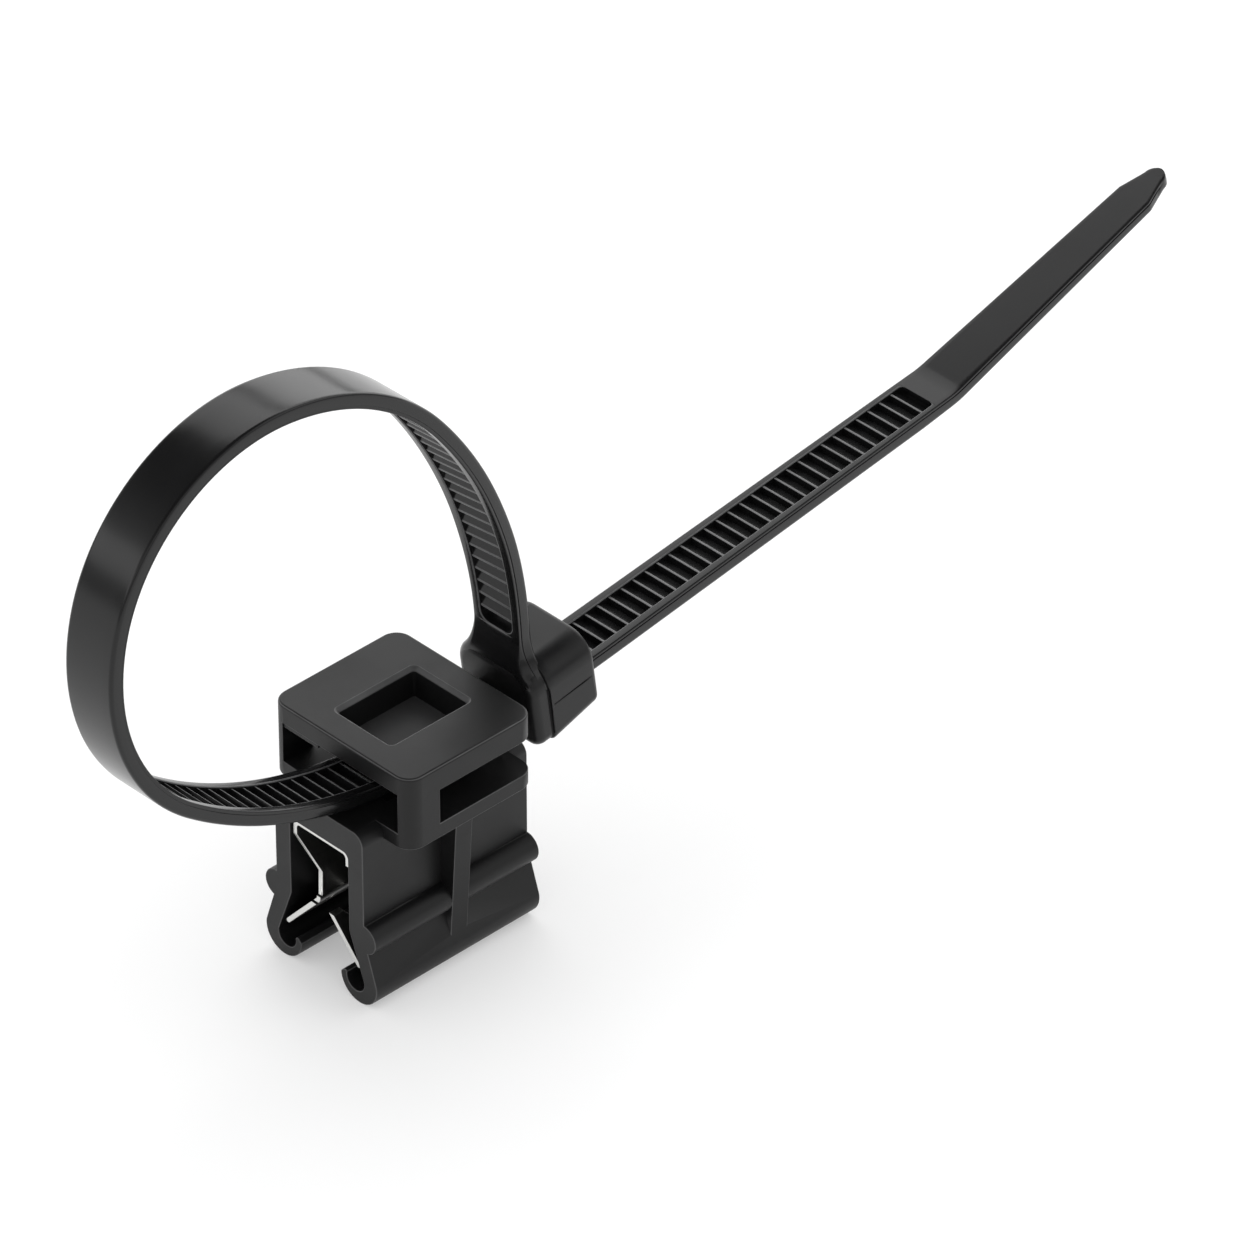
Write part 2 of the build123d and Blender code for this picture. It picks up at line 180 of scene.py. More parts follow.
def rolledMetal():
    # long faint streaks from rolling, all along the strip
    tree, given, result = finishTree("rolledMetal", (("Streaks per mm", 14.0), ("Stretch", 0.04)))
    place, squeeze = tree.nodes.new("ShaderNodeTexCoord"), tree.nodes.new("ShaderNodeCombineXYZ")
    squeeze.inputs["X"].default_value = 1.0
    squeeze.inputs["Z"].default_value = 1.0
    tree.links.new(given.outputs["Stretch"], squeeze.inputs["Y"])
    drawn = tree.nodes.new("ShaderNodeVectorMath")
    drawn.operation = "MULTIPLY"
    tree.links.new(place.outputs["Object"], drawn.inputs[0])
    tree.links.new(squeeze.outputs[0], drawn.inputs[1])
    streak = noiseFrom(tree, given, drawn.outputs[0], "Streaks per mm", 4.0)
    spreadTones(tree, given, result, streak, streak)
    return tree


def finishFrom(name, group, values, bump, bumpReach, metallic=0.0, specular=0.35):
    finish = bpy.data.materials.new(name)
    finish.use_nodes = True
    nodes, links = finish.node_tree.nodes, finish.node_tree.links
    shader = nodes["Principled BSDF"]
    shader.inputs["Metallic"].default_value = metallic
    shader.inputs["Specular IOR Level"].default_value = specular
    effect = nodes.new("ShaderNodeGroup")
    effect.node_tree = group
    for key, value in values.items():
        effect.inputs[key].default_value = value
    relief = nodes.new("ShaderNodeBump")
    relief.inputs["Strength"].default_value = bump
    relief.inputs["Distance"].default_value = bumpReach * mm
    links.new(effect.outputs["Colour"], shader.inputs["Base Color"])
    links.new(effect.outputs["Roughness"], shader.inputs["Roughness"])
    links.new(effect.outputs["Height"], relief.inputs["Height"])
    links.new(relief.outputs["Normal"], shader.inputs["Normal"])
    return finish


grainGroup = mouldGrain()
metalGroup = rolledMetal()
clipNylon = finishFrom("clipNylon", grainGroup, {
    "Grain per mm": 7.0, "Cloud per mm": 0.22, "Gloss low": 0.4, "Gloss high": 0.5,
    "Dark": (0.004, 0.004, 0.0042, 1), "Light": (0.008, 0.008, 0.0083, 1),
}, bump=0.25, bumpReach=0.01, specular=0.31)
tieNylon = finishFrom("tieNylon", grainGroup, {
    "Grain per mm": 5.0, "Cloud per mm": 0.15, "Gloss low": 0.15, "Gloss high": 0.22,
    "Dark": (0.004, 0.004, 0.0042, 1), "Light": (0.007, 0.007, 0.0073, 1),
}, bump=0.06, bumpReach=0.01, specular=0.36)
headNylon = finishFrom("headNylon", grainGroup, {
    "Grain per mm": 5.0, "Cloud per mm": 0.3, "Gloss low": 0.28, "Gloss high": 0.4,
    "Dark": (0.004, 0.004, 0.0042, 1), "Light": (0.008, 0.008, 0.0083, 1),
}, bump=0.12, bumpReach=0.01, specular=0.3)
# painted light: a lighter tone on the bottom of the plate's opening, standing in for the light that falls
# there
pocketPaintedLight = finishFrom("pocketPaintedLight", grainGroup, {
    "Grain per mm": 7.0, "Cloud per mm": 0.3, "Gloss low": 0.5, "Gloss high": 0.6,
    "Dark": (0.025, 0.025, 0.0255, 1), "Light": (0.045, 0.045, 0.046, 1),
}, bump=0.25, bumpReach=0.01)
# painted highlight: a lighter tone for the tie's tooth crests and the lip round the ladder's window
tiePaintedHighlight = finishFrom("tiePaintedHighlight", grainGroup, {
    "Grain per mm": 5.0, "Cloud per mm": 0.8, "Gloss low": 0.3, "Gloss high": 0.4,
    "Dark": (0.05, 0.05, 0.051, 1), "Light": (0.14, 0.14, 0.142, 1),
}, bump=0.06, bumpReach=0.01)
# painted highlight: a lighter tone for the clip's rounded edges and the middle of its top round
clipPaintedHighlight = finishFrom("clipPaintedHighlight", grainGroup, {
    "Grain per mm": 7.0, "Cloud per mm": 0.3, "Gloss low": 0.36, "Gloss high": 0.46,
    "Dark": (0.02, 0.02, 0.0205, 1), "Light": (0.1, 0.1, 0.101, 1),
}, bump=0.1, bumpReach=0.01)
springSteel = finishFrom("springSteel", metalGroup, {
    "Dark": (0.2, 0.2, 0.195, 1), "Light": (0.26, 0.26, 0.25, 1), "Gloss low": 0.3, "Gloss high": 0.36,
}, bump=0.02, bumpReach=0.002, metallic=1.0)
bareSteel = finishFrom("bareSteel", metalGroup, {
    "Dark": (0.66, 0.66, 0.64, 1), "Light": (0.74, 0.74, 0.72, 1), "Gloss low": 0.28, "Gloss high": 0.31,
}, bump=0.02, bumpReach=0.002, metallic=1.0)
print("finishes ready")


# the smallest step that keeps an outline from folding on itself
sliver = 0.02

# strap and head of the tie, in millimetres; bends and lifts are a radius with the degrees turned
strap = {
    "width": 4.7, "thick": 1.2,
    "rail": 0.72, "pitch": 1.2, "toothDepth": 0.5, "railRise": 0.14, "crestLand": 0.16, "steepRun": 0.14,
    "loopBends": ((40.3, 32.7), (19.7, 47.5), (14.5, 79.9), (16.7, 67.8), (36.2, 38.1)),
    "loopEnd": (0.9, 15.33), "rootRun": 4.2, "saddleRun": 8.7,
    "tailLift": (8.0, 7.7), "tailRun": 42.8, "tipLift": (7.0, 10.5), "tipRun": 24.1,
    "tailEndWidth": 4.23, "shoulderWidth": 3.08, "noseRadius": 0.9, "pointLength": 2.9, "tipThinning": 0.2,
    "ladderStart": 4.8, "ladderEndGap": 1.2, "pocketRun": 1.1, "windowCorner": 0.8, "windowEndCorner": 0.3,
    "crestFall": 0.03, "crestSoft": 0.03, "slopeSoft": 0.06, "edgeSoft": 0.09,
    "footBase": 0.5, "footRadius": 4.2, "footRamp": 3.6, "footSoft": 0.81, "footProud": -0.006,
    "roundTop": 0.14, "roundLow": 0.3, "partingGroove": 0.05, "partingBelow": 0.1,
    "partingSpan": (-0.05, -0.02, 0.03), "sectionGap": 0.2, "rungSink": 0.2, "rungOverlap": 0.03,
    "edgeFrom": 50,
    "twist": 5.5, "twistRise": (3.5, 13.5), "twistFall": (18, 34),
}
head = {
    "width": 7.9, "height": 6.8, "depth": 6.2, "belowSlot": 2.45, "cornerTop": 2.1, "cornerLow": 1.0,
    "frontRound": 0.8, "backRound": 0.45, "draft": 0.45, "collar": 1.6, "back": 1.35,
    "groove": ((-0.16, 0), (-0.12, 0.04), (-0.1, 0.1), (0, 0.1)),
    "step": 0.12, "stepStart": 0.01, "stepRise": 0.05,
    "slotClear": 0.12, "slotMouth": 0.5, "mouthReach": 0.8, "cutBefore": 0.2, "cutPast": 0.5,
    "pawlWidth": 2.8, "pawlGap": 0.3, "pawlThick": 1.1, "pawlTip": 0.6, "pawlClear": 0.08, "pawlArris": 0.05,
    "pawlTeeth": 3, "pawlTipGap": 0.72, "flexGap": 0.9, "taperStart": 2.7,
    "cutOverlap": 0.1, "partingAt": 0.9,
    "lineStart": 0.3, "lineReach": 0.3, "lineDepth": 0.06, "lineWidth": 0.05,
    "weld": 0.002, "arris": 0.07, "edgeFrom": 40,
}


def heading(degrees):
    return Vector((0, cos(radians(degrees)), sin(radians(degrees))))


runPieces = (
    [(None, strap["rootRun"])] + list(strap["loopBends"])
    + [(None, strap["saddleRun"]), strap["tailLift"], (None, strap["tailRun"])]
    + [strap["tipLift"], (None, strap["tipRun"])]
)


def pieceLength(piece):
    return piece[1] if piece[0] is None else piece[0] * radians(piece[1])


def moveOn(point, facing, piece, share=1.0):
    if piece[0] is None:
        return point + heading(facing) * piece[1] * share, facing
    centre = point + heading(facing + 90) * piece[0]
    turned = facing + piece[1] * share
    return centre - heading(turned + 90) * piece[0], turned


rootFacing = 360 - sum(turn for radius, turn in strap["loopBends"])
point, facing = Vector((0, 0, 0)), rootFacing
for piece in runPieces[:1 + len(strap["loopBends"])]:
    point, facing = moveOn(point, facing, piece)
rootPoint = Vector((0, *strap["loopEnd"])) - point
runLength = sum(pieceLength(piece) for piece in runPieces)
tailStart = sum(pieceLength(piece) for piece in runPieces[:-3])
tailEnd = tailStart + strap["tailRun"]
tipStart = runLength - strap["tipRun"]
tipSlope = strap["tailLift"][1] + strap["tipLift"][1]


def station(distance, rise=0.0):
    # point of the run at a distance from the head
    point, facing = rootPoint, rootFacing
    for piece in runPieces:
        length = pieceLength(piece)
        if distance <= length or piece is runPieces[-1]:
            break
        point, facing = moveOn(point, facing, piece)
        distance -= length
    point, facing = moveOn(point, facing, piece, distance / length)
    return point + heading(facing + 90) * rise


def runCurve():
    # one Bezier knot at each end of a straight or bend, bends in two or more spans
    knots = [(rootPoint, rootFacing)]
    reaches = []
    point, facing = rootPoint, rootFacing
    for piece in runPieces:
        spans = 1 if piece[0] is None else max(1, int(piece[1] / 30) + 1)
        part = (piece[0], piece[1] / spans)
        for span in range(spans):
            point, facing = moveOn(point, facing, part)
            knots.append((point, facing))
            if piece[0] is None:
                reaches.append(part[1] / 3)
            else:
                reaches.append(4 / 3 * tan(radians(part[1]) / 4) * part[0])
    curve = bpy.data.curves.new("strapRun", "CURVE")
    curve.dimensions = "3D"
    curve.resolution_u = 48
    spline = curve.splines.new("BEZIER")
    spline.bezier_points.add(len(knots) - 1)
    for index, (knot, (point, facing)) in enumerate(zip(spline.bezier_points, knots)):
        before = reaches[max(0, index - 1)]
        after = reaches[min(index, len(reaches) - 1)]
        knot.handle_left_type = knot.handle_right_type = "FREE"
        knot.co = point * mm
        knot.handle_left = (point - heading(facing) * before) * mm
        knot.handle_right = (point + heading(facing) * after) * mm
    return linkObject("strapRun", curve)


slotStart = station(tailStart) - heading(strap["tailLift"][1]) * head["back"]
headInlet = tailStart - head["back"]
crest = strap["thick"] / 2 - strap["railRise"]
valley = crest - strap["toothDepth"]
phaseTooth = headInlet + head["depth"] - head["pawlTipGap"]
firstTooth = phaseTooth - int((phaseTooth - strap["ladderStart"]) / strap["pitch"]) * strap["pitch"]
toothCount = int((tailEnd - strap["ladderEndGap"] - firstTooth) / strap["pitch"])
ladderEnd = firstTooth + toothCount * strap["pitch"]
pointEnd = station(runLength).y
shoulderY = pointEnd - strap["pointLength"]
bendY = station(tailEnd).y
taperY = station(headInlet + head["depth"] + head["taperStart"]).y


# the foot's flare comes down to touch the rounded shoulder of the head and then follows it
alongSlot = heading(strap["tailLift"][1])
aboveSlot = heading(strap["tailLift"][1] + 90)
shoulderUp = head["height"] - head["belowSlot"] - head["cornerTop"]
shoulderGap = strap["width"] / 2 - (head["width"] / 2 - head["cornerTop"])
bothRadii = strap["footRadius"] + head["cornerTop"]
flareDrop = bothRadii * sin(acos((strap["footRadius"] + shoulderGap) / bothRadii))
flareUp = shoulderUp + flareDrop
touchUp = shoulderUp + flareDrop * head["cornerTop"] / bothRadii
rootLean = radians(rootFacing - 90 - strap["tailLift"][1])
footTop = (flareUp - (station(0) - slotStart).dot(aboveSlot)) / cos(rootLean)


def innerDepth(distance):
    # how far the strap's inner face lies behind the head's inlet face
    return (station(distance, strap["thick"] / 2) - slotStart).dot(alongSlot)


def between(x, stops):
    for (x0, y0), (x1, y1) in zip(stops, stops[1:]):
        if x <= x1:
            return y0 + (y1 - y0) * max(0.0, (x - x0) / (x1 - x0))
    return stops[-1][1]


def softCorners(corners, steps):
    # closed outline through (across, up, soft) corners, each eased by a small curve of that reach
    outline = []
    for index, (x, z, soft) in enumerate(corners):
        corner = Vector((x, z))
        if soft == 0:
            outline.append((x, z))
            continue
        before = (Vector(corners[index - 1][:2]) - corner).normalized() * soft
        after = (Vector(corners[(index + 1) % len(corners)][:2]) - corner).normalized() * soft
        for step in range(steps + 1):
            t = step / steps
            outline.append(tuple(corner + before * (1 - t) ** 2 + after * t ** 2))
    return outline


def halfWidth(distance):
    half = strap["width"] / 2
    if distance < footTop:
        up = (station(distance) - slotStart).dot(aboveSlot)
        if up > touchUp:
            return half + strap["footRadius"] - sqrt(strap["footRadius"] ** 2 - max(0.0, flareUp - up) ** 2)
        shoulder = sqrt(head["cornerTop"] ** 2 - (up - shoulderUp) ** 2)
        return head["width"] / 2 - head["cornerTop"] + shoulder + 2 * strap["footProud"]
    y = station(distance).y
    if distance < headInlet + head["depth"] or y < taperY:
        return half
    nose = strap["noseRadius"]
    if y > pointEnd - nose:
        return max(sqrt(max(0.0, nose ** 2 - (y - pointEnd + nose) ** 2)), 0.05)
    return between(y, (
        (taperY, half), (bendY, strap["tailEndWidth"] / 2), (shoulderY, strap["shoulderWidth"] / 2),
        (pointEnd - nose, nose),
    ))


def underside(distance):
    thin = strap["tipThinning"]
    raised = between(distance, (
        (tailEnd - strap["pointLength"], 0), (tailEnd, thin / 2), (tipStart, thin / 2),
        (runLength - 2 * thin, thin), (runLength, strap["thick"] / 2 - sliver),
    ))
    return raised - strap["thick"] / 2


def channelHalf(distance):
    # window of the ladder, with rounded corners at its ends; zero where the strap is plain
    full = strap["width"] / 2 - strap["rail"]
    near, far = distance - firstTooth + strap["pocketRun"], ladderEnd - distance
    inside, corner = min((near, strap["windowCorner"]), (far, strap["windowEndCorner"]))
    if inside < 0:
        return 0
    if inside < corner:
        return full - corner + sqrt(max(0.0, corner ** 2 - (corner - inside) ** 2))
    return full


def markFaces(mesh, flags):
    # faces that the tree gives a painted highlight
    marked = mesh.attributes.new("paintedHighlight", "BOOLEAN", "FACE")
    for value, flag in zip(marked.data, flags):
        value.value = flag


def strapSection(distance, hollow, drop=0.0):
    # closed outline of the strap at a distance, seen along it, with the ladder's channel open or filled
    half, low, top = halfWidth(distance), underside(distance), strap["thick"] / 2
    rise = min(1.0, max(0.0, (distance - strap["footBase"]) / strap["footRamp"]))
    foot = (1 - rise) ** 2 * (1 + 2 * rise)
    top += foot * (innerDepth(distance) + strap["footProud"])
    lowSoft = min(strap["roundLow"], half * 0.6)
    topSoft = min(strap["roundTop"], half * 0.3) + foot * strap["footSoft"]
    groove = strap["partingGroove"] if half > 1 else 0
    window = min(channelHalf(distance) or strap["width"] / 2 - strap["rail"], half - 2 * topSoft)
    window = max(window, sliver)
    floor = valley - sliver if hollow else top - drop
    lip = strap["edgeSoft"] if hollow else 0.001
    under, deep, over = (top - topSoft - strap["partingBelow"] + rise for rise in strap["partingSpan"])
    corners = [
        (half * 0.5, low, 0), (half, low, lowSoft), (half, under, 0), (half - groove, deep, 0),
        (half - groove, over, 0), (half, top, topSoft), (window, top, lip), (window, floor, 0),
        (window * 0.5, floor, 0), (0.0, floor, 0), (0.0, low, 0),
    ]
    right = softCorners(corners, 4)[:-2]
    right = [(max(x, 0.01), z) for x, z in right]
    return right + [(-x, z) for x, z in reversed(right)]


def strapStops():
    # distances of the strap's sections, each with the ladder's channel hollow or filled
    windowStart = firstTooth - strap["pocketRun"]
    pointRun, noseRun = (strap[key] / cos(radians(tipSlope)) for key in ("pointLength", "noseRadius"))
    marks = [footTop * k / 14 for k in range(1, 15)]
    marks.append(headInlet + head["depth"] + head["taperStart"])
    marks += [tailEnd - strap["pointLength"], tailEnd, tipStart, runLength - pointRun]
    marks += [runLength - noseRun * (1 - sin(pi / 2 * k / 10)) for k in range(11)]
    root = [windowStart * k / 8 for k in range(1, 8)]
    tail = [ladderEnd + (runLength - 1 - ladderEnd) * k / 60 for k in range(1, 60)]

    corner, endCorner = strap["windowCorner"], strap["windowEndCorner"]
    clear = 0.05
    ladder = [windowStart + corner * (1 - cos(pi / 2 * k / 7)) for k in range(8)]
    full = ladderEnd - windowStart - corner - endCorner - 2 * clear
    count = int(full / (strap["pitch"] / 2))
    ladder += [windowStart + corner + clear + full * k / count for k in range(count + 1)]
    ladder += [ladderEnd - endCorner * (1 - cos(pi / 2 * k / 5)) for k in range(5, -1, -1)]

    stops = [(0.0, False)]
    stops += [(d, False) for d in sorted(root + marks) if d < windowStart - strap["sectionGap"]]
    stops += [(windowStart - strap["edgeSoft"], False), (windowStart, False)]
    stops += [(d, True) for d in ladder]
    stops.append((ladderEnd, False))
    stops += [(d, False) for d in sorted(tail + [m for m in marks if m > ladderEnd])]
    return stops, windowStart


def flatStrap():
    stops, windowStart = strapStops()
    points, faces, flags = [], [], []
    size = len(strapSection(0, False))
    for distance, hollow in stops:
        drop = strap["edgeSoft"] if distance == windowStart else 0
        points += [(x, distance, z) for x, z in strapSection(distance, hollow, drop)]
    # the lip runs round the window: along both rails and across its near end; its faces get a painted
    # highlight
    lipSides = set(range(14, 18)) | set(range(size - 19, size - 15))
    for ring in range(len(stops) - 1):
        nearEnd = stops[ring + 1] == (windowStart, False)
        for k in range(size):
            a, b = ring * size + k, ring * size + (k + 1) % size
            faces.append((a, b, b + size, a + size))
            along = stops[ring][1] and stops[ring + 1][1] and k in lipSides
            flags.append(along or (nearEnd and 18 <= k < size - 19))
    last = (len(stops) - 1) * size
    faces.append(tuple(range(size))[::-1])
    faces.append(tuple(range(last, last + size)))
    mesh = meshFrom("flatStrap", points, faces)
    markFaces(mesh, flags + [False, False])
    tidyMesh(mesh)
    return mesh


def rungMesh():
    # one tooth of the ladder: narrow land on top, long fall towards the tip, steep face towards the head
    half = strap["width"] / 2 - strap["rail"] + strap["rungOverlap"]
    land, run, steep, sunk = strap["crestLand"], strap["pitch"], strap["steepRun"], valley - strap["rungSink"]
    outline = softCorners([
        (-steep, sunk, 0), (-steep, valley, 0), (0, crest, strap["crestSoft"]),
        (land, crest - strap["crestFall"], strap["slopeSoft"]),
        (run - steep, valley, 0), (run - steep, sunk, 0),
    ], 5)
    count = len(outline)
    points = [(x, y, z) for x in (-half, half) for y, z in outline]
    faces = [tuple(range(count)), tuple(range(2 * count - 1, count - 1, -1))]
    for k in range(count):
        j = (k + 1) % count
        faces.append((k, j, j + count, k + count))
    mesh = meshFrom("rung", points, faces)
    # the faces at the crest get a painted highlight
    rise = [z > crest - strap["crestFall"] - sliver for y, z in outline]
    markFaces(mesh, [False, False] + [rise[k] and rise[(k + 1) % count] for k in range(count)])
    tidyMesh(mesh)
    return mesh


def ladderTree():
    # adds the row of rungs to the flat strap, wraps both along the run and gives them their finish, with a
    # painted highlight on the marked faces
    tree = bpy.data.node_groups.new("ladderStrap", "GeometryNodeTree")
    nodeSocket(tree, "Geometry", "NodeSocketGeometry", "INPUT")
    nodeSocket(tree, "Rung", "NodeSocketObject", "INPUT")
    nodeSocket(tree, "Run", "NodeSocketObject", "INPUT")
    nodeSocket(tree, "Count", "NodeSocketInt", "INPUT", 10)
    nodeSocket(tree, "First", "NodeSocketFloat", "INPUT", 0.0)
    nodeSocket(tree, "Pitch", "NodeSocketFloat", "INPUT", 0.0012)
    nodeSocket(tree, "Finish", "NodeSocketMaterial", "INPUT")
    nodeSocket(tree, "Painted highlight", "NodeSocketMaterial", "INPUT")
    for name in ("Twist", "Rise from", "Rise to", "Fall from", "Fall to"):
        nodeSocket(tree, name, "NodeSocketFloat", "INPUT", 0.0)
    nodeSocket(tree, "Geometry", "NodeSocketGeometry", "OUTPUT")
    nodes, links = tree.nodes, tree.links
    given, result = nodes.new("NodeGroupInput"), nodes.new("NodeGroupOutput")
    startAt, stepBy = nodes.new("ShaderNodeCombineXYZ"), nodes.new("ShaderNodeCombineXYZ")
    links.new(given.outputs["First"], startAt.inputs["Y"])
    links.new(given.outputs["Pitch"], stepBy.inputs["Y"])
    row = nodes.new("GeometryNodeMeshLine")
    links.new(given.outputs["Count"], row.inputs["Count"])
    links.new(startAt.outputs[0], row.inputs["Start Location"])
    links.new(stepBy.outputs[0], row.inputs["Offset"])
    rung = nodes.new("GeometryNodeObjectInfo")
    links.new(given.outputs["Rung"], rung.inputs["Object"])
    copies = nodes.new("GeometryNodeInstanceOnPoints")
    links.new(row.outputs["Mesh"], copies.inputs["Points"])
    links.new(rung.outputs["Geometry"], copies.inputs["Instance"])
    real = nodes.new("GeometryNodeRealizeInstances")
    joined = nodes.new("GeometryNodeJoinGeometry")
    links.new(copies.outputs["Instances"], joined.inputs["Geometry"])
    links.new(given.outputs["Geometry"], joined.inputs["Geometry"])
    links.new(joined.outputs["Geometry"], real.inputs["Geometry"])

    run = nodes.new("GeometryNodeObjectInfo")
    links.new(given.outputs["Run"], run.inputs["Object"])
    # the loop leans a little, so its section turns about the run between the head and the top
    place, flat = nodes.new("GeometryNodeInputPosition"), nodes.new("ShaderNodeSeparateXYZ")
    links.new(place.outputs[0], flat.inputs[0])
    lean = given.outputs["Twist"]
    for start, end, first, last in (("Rise from", "Rise to", 0.0, 1.0), ("Fall from", "Fall to", 1.0, 0.0)):
        fade, share = nodes.new("ShaderNodeMapRange"), nodes.new("ShaderNodeMath")
        fade.interpolation_type = "SMOOTHSTEP"
        fade.inputs["To Min"].default_value = first
        fade.inputs["To Max"].default_value = last
        share.operation = "MULTIPLY"
        links.new(flat.outputs["Y"], fade.inputs["Value"])
        links.new(given.outputs[start], fade.inputs["From Min"])
        links.new(given.outputs[end], fade.inputs["From Max"])
        links.new(lean, share.inputs[0])
        links.new(fade.outputs["Result"], share.inputs[1])
        lean = share.outputs[0]
    turned, parts = nodes.new("ShaderNodeVectorRotate"), nodes.new("ShaderNodeSeparateXYZ")
    turned.rotation_type = "Y_AXIS"
    links.new(place.outputs[0], turned.inputs["Vector"])
    links.new(lean, turned.inputs["Angle"])
    links.new(turned.outputs["Vector"], parts.inputs[0])
    sample = nodes.new("GeometryNodeSampleCurve")
    sample.mode = "LENGTH"
    sample.use_all_curves = False
    links.new(run.outputs["Geometry"], sample.inputs["Curves"])
    links.new(flat.outputs["Y"], sample.inputs["Length"])
    side = nodes.new("ShaderNodeCombineXYZ")
    side.inputs["X"].default_value = 1.0
    up = nodes.new("ShaderNodeVectorMath")
    up.operation = "CROSS_PRODUCT"
    links.new(side.outputs[0], up.inputs[0])
    links.new(sample.outputs["Tangent"], up.inputs[1])
    raised = nodes.new("ShaderNodeVectorMath")
    raised.operation = "SCALE"
    links.new(up.outputs[0], raised.inputs[0])
    links.new(parts.outputs["Z"], raised.inputs["Scale"])
    across = nodes.new("ShaderNodeCombineXYZ")
    links.new(parts.outputs["X"], across.inputs["X"])
    onRun, wrapped = nodes.new("ShaderNodeVectorMath"), nodes.new("ShaderNodeVectorMath")
    links.new(sample.outputs["Position"], onRun.inputs[0])
    links.new(raised.outputs[0], onRun.inputs[1])
    links.new(onRun.outputs[0], wrapped.inputs[0])
    links.new(across.outputs[0], wrapped.inputs[1])
    bend = nodes.new("GeometryNodeSetPosition")
    links.new(real.outputs["Geometry"], bend.inputs["Geometry"])
    links.new(wrapped.outputs[0], bend.inputs["Position"])
    finish = nodes.new("GeometryNodeSetMaterial")
    links.new(bend.outputs["Geometry"], finish.inputs["Geometry"])
    links.new(given.outputs["Finish"], finish.inputs["Material"])
    marked, edges = nodes.new("GeometryNodeInputNamedAttribute"), nodes.new("GeometryNodeSetMaterial")
    marked.data_type = "BOOLEAN"
    marked.inputs["Name"].default_value = "paintedHighlight"
    links.new(finish.outputs["Geometry"], edges.inputs["Geometry"])
    links.new(marked.outputs["Attribute"], edges.inputs["Selection"])
    links.new(given.outputs["Painted highlight"], edges.inputs["Material"])
    links.new(edges.outputs["Geometry"], result.inputs["Geometry"])
    return tree


def growFrom(made, tree, values):
    modifier = made.modifiers.new(tree.name, "NODES")
    modifier.node_group = tree
    for item in tree.interface.items_tree:
        if item.in_out == "INPUT" and item.name in values:
            modifier[item.identifier] = values[item.name]
    return bakeModifiers(made)


rungPiece = linkObject("rungPattern", rungMesh())
runPiece = runCurve()
strapPiece = linkObject("toothedStrap", flatStrap())
growFrom(strapPiece, ladderTree(), {
    "Rung": rungPiece, "Run": runPiece, "Count": toothCount, "First": firstTooth * mm,
    "Pitch": strap["pitch"] * mm, "Finish": tieNylon, "Painted highlight": tiePaintedHighlight,
    "Twist": radians(strap["twist"]),
    "Rise from": strap["twistRise"][0] * mm, "Rise to": strap["twistRise"][1] * mm,
    "Fall from": strap["twistFall"][0] * mm, "Fall to": strap["twistFall"][1] * mm,
})
bpy.data.objects.remove(rungPiece)
bpy.data.objects.remove(runPiece)
smoothByAngle(strapPiece.data, strap["edgeFrom"])
levelNormals(strapPiece)
print("strap:", len(strapPiece.data.polygons), "faces,", toothCount, "teeth")


def inHead(x, up, depth):
    return slotStart + Vector((x, 0, 0)) + aboveSlot * up + alongSlot * depth


def roundedRing(low, high, half, cornerLow, cornerTop, depth, steps=8):
    ring = []
    corners = (
        (half - cornerLow, low + cornerLow, cornerLow, -90),
        (half - cornerTop, high - cornerTop, cornerTop, 0),
        (cornerTop - half, high - cornerTop, cornerTop, 90),
        (cornerLow - half, low + cornerLow, cornerLow, 180),
    )
    for x, up, corner, turn in corners:
        for step in range(steps + 1):
            angle = radians(turn + 90 * step / steps)
            ring.append(inHead(x + corner * cos(angle), up + corner * sin(angle), depth))
    return ring


def headRing(depth, grow, lift, inset=0.0):
    low = -head["belowSlot"] - grow + lift + inset
    high = head["height"] - head["belowSlot"] + grow - inset
    half = head["width"] / 2 + grow - inset
    return roundedRing(
        low, high, half, max(head["cornerLow"] - inset, 0.2), max(head["cornerTop"] - inset, 0.2), depth)


def loftRings(name, rings):
    size = len(rings[0])
    points = [p for ring in rings for p in ring]
    faces = [
        (r * size + k, r * size + (k + 1) % size, (r + 1) * size + (k + 1) % size, (r + 1) * size + k)
        for r in range(len(rings) - 1) for k in range(size)
    ]
    faces.append(tuple(range(size))[::-1])
    faces.append(tuple(range(len(points) - size, len(points))))
    mesh = meshFrom(name, points, faces)
    tidyMesh(mesh)
    return mesh


def headForm():
    rings = []
    front, back, depth = head["frontRound"], head["backRound"], head["depth"]
    for step in range(8, -1, -1):
        angle = radians(90 * step / 8)
        rings.append(headRing(front * (1 - sin(angle)), 0, 0, front * (1 - cos(angle))))
    # a fine dark groove, then the block stands a little proud
    for past, inset in head["groove"]:
        rings.append(headRing(head["collar"] + past, 0, 0, inset))
    stepAt = head["collar"] + head["stepStart"]
    blockAt = stepAt + head["stepRise"]
    rings.append(headRing(stepAt, head["step"] - head["stepRise"], 0))
    rings.append(headRing(blockAt, head["step"], 0))
    for step in range(1, 7):
        share = step / 6
        at = blockAt + (depth - back - blockAt) * share
        rings.append(headRing(at, head["step"] * (1 - share), head["draft"] * share))
    for step in range(1, 6):
        angle = radians(90 * step / 5)
        rings.append(headRing(depth - back + back * sin(angle), 0, head["draft"], back * (1 - cos(angle))))
    return loftRings("tieHead", rings)


